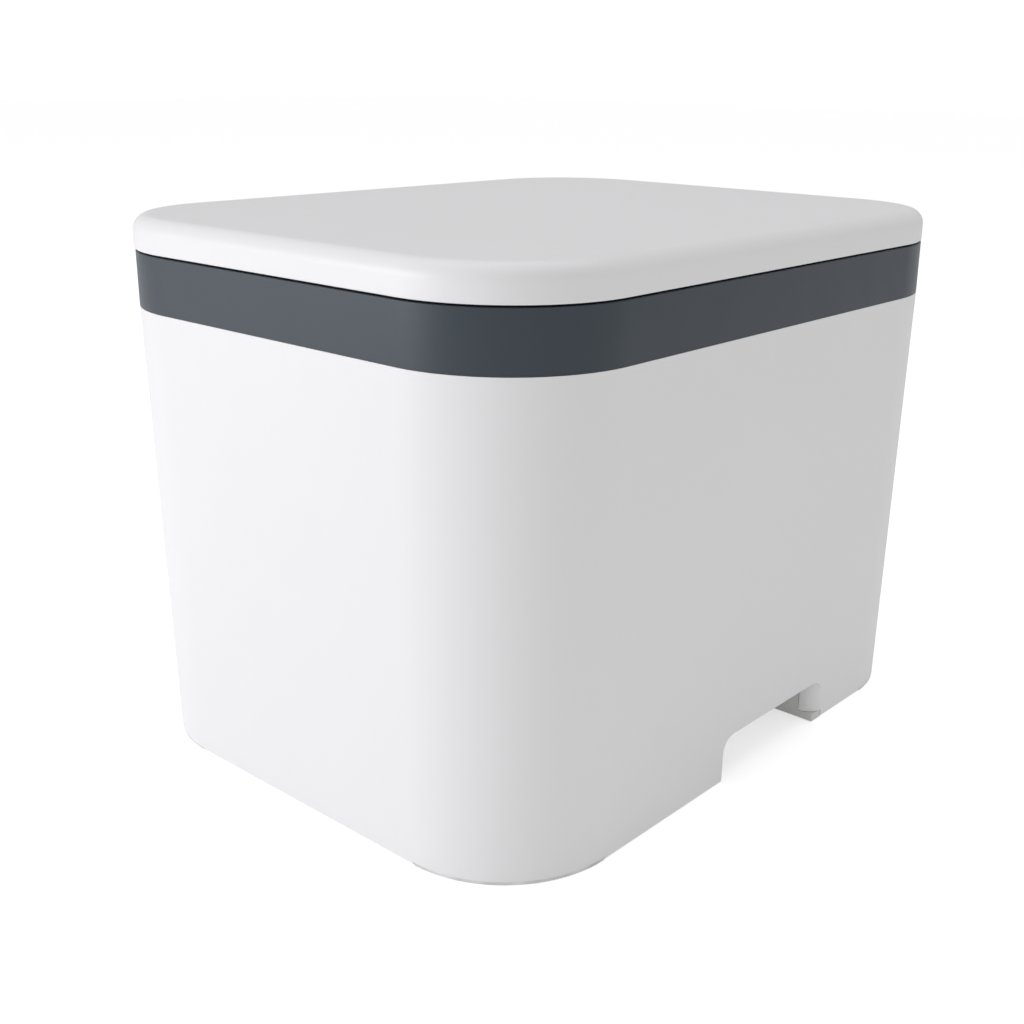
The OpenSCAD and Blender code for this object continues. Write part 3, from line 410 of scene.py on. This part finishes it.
def jamb_post(side):
    """Quarter-round post at a grip's rear edge, leaning with the wall and reaching 2 mm into it."""
    arc = [(math.cos(math.radians(a)) * JAMB_R, math.sin(math.radians(a)) * JAMB_R) for a in range(-90, 1, 5)]
    outline = arc + [(JAMB_R - 0.02 * MM, 2 * MM), (0, 2 * MM)]
    ends = []
    for z in (JAMB_LOW, JAMB_HIGH):
        axis_x = SHELL_HIGH.x - DRAFT * (BAND_Z - z) - JAMB_R
        ends.append([(side * (axis_x + x), GRIP_HIGH + y, z) for x, y in outline])
    return solid_between("jamb", *ends)


def corner_reliefs():
    """Box cutters under the corners, where the feet show, one after the other."""
    core_x = SHELL_HIGH.x - CORNER_R
    core_y = SHELL_HIGH.y - CORNER_R
    low, high = -5 * MM, 2.05 * MM
    for x in ((core_x, 0.2), (-0.2, -core_x)):
        for y in ((core_y, 0.25), (-0.25, -core_y)):
            yield prism("relief_cutter", [(y[0], low), (y[1], low), (y[1], high), (y[0], high)], *x)


def rear_window(node, margin):
    """Outline box of a rear fitting's cut-out, from the fitting's own size behind its flange."""
    low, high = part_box(node)
    return (low.x + margin, high.x - margin, low.z + margin, high.z - margin)


def build_shell():
    """Tapered shell with both grip notches and the windows for the rear fittings."""
    z_low, z_high = SHELL_LOW.z, SHELL_HIGH.z - SEAM
    lean = DRAFT * (z_high - z_low)
    plan = rounded_plan(SHELL_HIGH.x, SHELL_LOW.y, SHELL_HIGH.y, CORNER_R, CORNER_R)
    foot_r = 0.9 * MM
    section = [(0, z_high), (lean - DRAFT * foot_r, z_low + foot_r)]
    section += [(lean + foot_r - s, z_low + foot_r - c) for s, c in fillet(foot_r, (67.5, 45, 22.5, 0))]
    section += [(lean + SHELL_WALL, z_low), (SHELL_WALL, z_high)]
    piece = new_object("case_shell", loft(plan, section, True), "case_white", "body")
    cut(piece, prism("grip_cutter", grip_outline(), -0.2, 0.2))
    for side in (-1, 1):
        cut(piece, jamb_post(side), "UNION")
    for cutter in corner_reliefs():
        cut(piece, cutter)
    for node, margin in (("power_inlet", 1.5 * MM), ("switch_housing", 1.5 * MM)):
        x0, x1, z0, z1 = rear_window(node, margin)
        cut(piece, prism("window_cutter", [(0.18, z0), (0.22, z0), (0.22, z1), (0.18, z1)], x0, x1))
    finish_edges(piece, 0.45 * MM)
    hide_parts("outer_shell")
    add_shell_bosses()
    return piece


def add_shell_bosses():
    """Screw bosses inside the shell's corners, which stay as the CAD has them."""
    cad = frame["nodes"]["outer_shell"]
    inner_x = SHELL_HIGH.x - 20 * MM
    bm = bmesh.new()
    bm.from_mesh(cad.data)
    bmesh.ops.remove_doubles(bm, verts=bm.verts, dist=1e-6)
    boss = [f for f in bm.faces if all(is_boss(v.co, inner_x) for v in f.verts)]
    bmesh.ops.delete(bm, geom=[f for f in bm.faces if f not in set(boss)], context="FACES")
    new_object("shell_bosses", bm, "case_white", "body")


BOSS_REACH = 62 * MM                # from a corner's axis, past the boss and short of the wall
BOSS_TOP = 31 * MM


def is_boss(co, inner_x):
    core_x = SHELL_HIGH.x - CORNER_R
    core_y = SHELL_HIGH.y - CORNER_R
    reach = math.hypot(abs(co.x) - core_x, abs(co.y) - core_y)
    inside = abs(co.x) < inner_x and abs(co.y) > core_y - 20 * MM
    return inside and reach < BOSS_REACH and co.z < BOSS_TOP


def hinge_gaps(z_low, z_high, y_low, y_high, spare):
    """Box cutters for the two hinge places, one after the other."""
    half = 20 * MM + spare
    for x in (-75 * MM, 75 * MM):
        yield prism("hinge_cutter", [(y_low, z_low), (y_high, z_low), (y_high, z_high), (y_low, z_high)],
            x - half, x + half)


def build_band():
    """Dark band: upright wall, spigot below, and the flange that frames the bin's mouth."""
    z_low, z_high = BAND_Z + SEAM, BAND_HIGH.z
    plan = rounded_plan(BAND_HIGH.x, BAND_LOW.y, BAND_HIGH.y, CORNER_R, CORNER_R)
    flange = 3 * MM
    mouth = 8.1 * MM
    chamfer = 1 * MM
    edge = 0.5 * MM
    step_h = 2.5 * MM
    spigot_out = 3.4 * MM
    spigot_in = 5.4 * MM
    section = [(0, z_low)] + [(edge - c, z_high - edge + s) for s, c in fillet(edge, (0, 30, 60, 90))]
    section += [(mouth - chamfer, z_high), (mouth, z_high - chamfer), (mouth, z_high - flange),
        (BAND_WALL, z_high - flange), (BAND_WALL, z_low + step_h), (spigot_in, z_low + step_h),
        (spigot_in, BAND_LOW.z), (spigot_out, BAND_LOW.z), (spigot_out, z_low)]
    piece = new_object("dark_band", loft(plan, section, True), "band_slate", "body")
    for cutter in hinge_gaps(HINGE_Z - 5 * MM, HINGE_Z + 5 * MM, 0.185, 0.205, 0.5 * MM):
        cut(piece, cutter)
    finish_edges(piece, 0.3 * MM)
    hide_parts("collar_ring")
    return piece


def build_lid():
    """Lid cover: slightly crowned top, large rolled edge, upright skirt with a small lip radius."""
    z_low, z_high = LID_LOW.z, LID_HIGH.z
    front_r = CORNER_R
    rear_y = LID_HIGH.y
    rear_r = rear_y - (-LID_LOW.y - front_r)
    plan = rounded_plan(LID_HIGH.x, LID_LOW.y, rear_y, front_r, rear_r)
    edge = 8.5 * MM
    crown = 0.35 * MM
    lip = 0.8 * MM
    wall = 3 * MM
    flat_reach = 60 * MM
    section = [(flat_reach, z_high), (40 * MM, z_high - crown * 0.25), (22 * MM, z_high - crown * 0.6)]
    section += [(edge - s, z_high - crown - edge + c) for s, c in fillet(edge, range(0, 91, 9))]
    section += [(lip - c, z_low + lip - s) for s, c in fillet(lip, (0, 30, 60, 90))]
    section += [(wall, z_low), (wall, z_high - edge), (edge * 0.5, z_high - edge * 0.55),
        (edge, z_high - wall - crown), (flat_reach, z_high - wall)]
    piece = new_object("lid_shell", loft(plan, section, False), "case_white", "lid")
    for cutter in hinge_gaps(z_low - 2 * MM, HINGE_Z + 4.3 * MM, 0.190, 0.21, 0.8 * MM):
        cut(piece, cutter)
    finish_edges(piece, 0.3 * MM, 35)
    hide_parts("lid_cover")
    return piece


# ---------------------------------------------------------------- carried-over nodes

def refined(node, width, angle=32, segments=2):
    """A copy of a CAD node with its facets merged and its sharp edges rounded."""
    bm = bmesh.new()
    bm.from_mesh(frame["nodes"][node].data)
    bmesh.ops.remove_doubles(bm, verts=bm.verts, dist=1e-6)
    bmesh.ops.dissolve_limit(bm, angle_limit=math.radians(1), verts=bm.verts, edges=bm.edges)
    piece = new_object(node + "_fine", bm, NODE_SLOT[node], NODE_BODY[node])
    finish_edges(piece, width, angle, segments)
    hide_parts(node)
    return piece


REFINED = {
    "inner_bin": 0.5 * MM,
    "lid_liner": 0.5 * MM,
    "press_plate": 0.5 * MM,
    "base_tray": 0.4 * MM,
    "base_deck": 0.4 * MM,
    "corner_feet": 0.4 * MM,
    "lid_gasket": 0.5 * MM,
    "hinge_brackets": 0.2 * MM,
    "hinge_leaves": 0.2 * MM,
    "sector_arms": 0.2 * MM,
    "cross_arms": 0.2 * MM,
    "press_frame": 0.2 * MM,
    "pivot_lugs": 0.2 * MM,
    "slide_brackets": 0.2 * MM,
    "power_inlet": 0.3 * MM,
    "switch_housing": 0.3 * MM,
    "rocker_button": 0.3 * MM,
    "strike_plate": 0.3 * MM,
    "lock_bolt": 0.3 * MM,
    "lock_solenoid": 0.3 * MM,
    "gear_motor": 0.4 * MM,
    "motor_bracket": 0.2 * MM,
    "limit_switches": 0.3 * MM,
}


def helix_points(radius, turns, length, per_turn=40):
    """Centre line of a coil spring along +Y, with a closed turn at each end."""
    total = turns * per_turn
    for i in range(total + 1):
        t = i / total
        pitch = min(1.0, max(0.0, (t - 0.12) / 0.76))
        a = 2 * math.pi * turns * t
        yield Vector((radius * math.cos(a), length * (0.04 * t + 0.96 * pitch), radius * math.sin(a)))


def build_spring():
    """Return spring round the lock bolt's plunger."""
    low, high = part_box("lock_spring")
    centre = (low + high) / 2
    wire = 0.45 * MM
    radius = (high.x - low.x) / 2 - wire
    start = Vector((centre.x, low.y + wire, centre.z))
    line = [start + p for p in helix_points(radius, 4, high.y - low.y - 2 * wire)]
    bm = bmesh.new()
    sides = 10
    rings = []
    for i, point in enumerate(line):
        tangent = (line[min(i + 1, len(line) - 1)] - line[max(i - 1, 0)]).normalized()
        outward = Vector((point.x - start.x, 0, point.z - start.z)).normalized()
        across = tangent.cross(outward).normalized()
        rings.append([bm.verts.new(point + wire * (outward * math.cos(a) + across * math.sin(a)))
            for a in (2 * math.pi * k / sides for k in range(sides))])
    for a, b in zip(rings, rings[1:]):
        for k in range(sides):
            n = (k + 1) % sides
            bm.faces.new((a[k], a[n], b[n], b[k]))
    bm.faces.new(rings[0])
    bm.faces.new(rings[-1])
    piece = new_object("return_spring", bm, "bright_steel", "lid")
    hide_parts("lock_spring")
    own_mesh(piece)
    return piece


def dress_cad_nodes():
    """Gives every CAD node that still shows its slot's material."""
    for name, node in frame["nodes"].items():
        if node.hide_render:
            continue
        node.data.materials.clear()
        node.data.materials.append(MATERIALS[NODE_SLOT[name]])


# ---------------------------------------------------------------- stage, light and camera

def build_stage():
    """Pale floor: one flat square, 24 m across."""
    material, tree, shader = new_material("studio_paper", 0.85)
    vector = surface_coordinates(tree)
    fibres = noise(tree, vector, 300, 3)
    tree.links.new(two_colours(tree, ramp(tree, fibres, 0, 1), (0.93, 0.93, 0.93), (0.96, 0.96, 0.96)),
        shader.inputs["Base Color"])
    shader.inputs["Emission Color"].default_value = (1, 1, 1, 1)
    path = tree.nodes.new("ShaderNodeLightPath")
    glow = tree.nodes.new("ShaderNodeMapRange")
    glow.inputs["To Min"].default_value = 0.1
    glow.inputs["To Max"].default_value = 0.5
    tree.links.new(path.outputs["Is Camera Ray"], glow.inputs["Value"])
    tree.links.new(glow.outputs["Result"], shader.inputs["Emission Strength"])
    bm = bmesh.new()
    half = 12.0
    corners = ((-half, -half), (half, -half), (half, half), (-half, half))
    bm.faces.new([bm.verts.new((x, y, 0)) for x, y in corners])
    mesh = bpy.data.meshes.new("studio_floor")
    bm.to_mesh(mesh)
    bm.free()
    floor = bpy.data.objects.new("studio_floor", mesh)
    bpy.context.scene.collection.objects.link(floor)
    mesh.materials.append(material)


def area_light(name, location, target, size, power, colour=(1, 1, 1)):
    light = bpy.data.lights.new(name, "AREA")
    light.shape = "RECTANGLE"
    light.size, light.size_y = size
    light.energy = power
    light.color = colour
    lamp = bpy.data.objects.new(name, light)
    lamp.location = location
    lamp.rotation_euler = (Vector(target) - Vector(location)).to_track_quat("-Z", "Y").to_euler()
    bpy.context.scene.collection.objects.link(lamp)
    return lamp


def build_lights():
    """Even white surroundings, a large low softbox at the front left, and a soft top light."""
    world = bpy.data.worlds.new("studio")
    bpy.context.scene.world = world
    world.use_nodes = True
    tree = world.node_tree
    background = tree.nodes["Background"]
    path = tree.nodes.new("ShaderNodeLightPath")
    strength = tree.nodes.new("ShaderNodeMapRange")
    strength.inputs["To Min"].default_value = 0.52
    strength.inputs["To Max"].default_value = 1.05
    tree.links.new(path.outputs["Is Camera Ray"], strength.inputs["Value"])
    tree.links.new(strength.outputs["Result"], background.inputs["Strength"])
    background.inputs["Color"].default_value = (1, 1, 1, 1)
    area_light("front_softbox", (-1.05, -1.85, 0.55), (0, 0, 0.15), (1.2, 0.9), 17, (0.975, 0.965, 1.0))
    area_light("top_softbox", (0, 0.2, 2.2), (0, 0, 0.2), (2.0, 2.0), 12.5, (0.97, 0.96, 1.0))


def build_camera():
    """The view: from the front right, a little above the lid, with a slight roll."""
    azimuth, elevation, roll = (math.radians(a) for a in (40.685, 18.233, 0.823))
    level = math.cos(elevation)
    back = Vector((math.sin(azimuth) * level, -math.cos(azimuth) * level, math.sin(elevation)))
    right = Vector((math.cos(azimuth), math.sin(azimuth), 0))
    up = back.cross(right)
    x_axis = right * math.cos(roll) + up * math.sin(roll)
    y_axis = up * math.cos(roll) - right * math.sin(roll)
    camera = bpy.data.cameras.new("camera")
    camera.sensor_width = 36
    camera.lens = 47.03
    camera.shift_x = -0.0405
    camera.shift_y = -0.0059
    camera.clip_start = 0.01
    holder = bpy.data.objects.new("camera", camera)
    rotation = Matrix((x_axis, y_axis, back)).transposed().to_4x4()
    holder.matrix_world = Matrix.Translation((0.5126, -0.5888, 0.378)) @ rotation
    bpy.context.scene.collection.objects.link(holder)
    bpy.context.scene.camera = holder


MATERIALS = build_materials()
build_camera()
build_shell()
build_band()
build_lid()
for refined_node, edge_width in REFINED.items():
    refined(refined_node, edge_width)
build_spring()
dress_cad_nodes()
build_stage()
build_lights()
bpy.context.scene.view_settings.view_transform = "Standard"
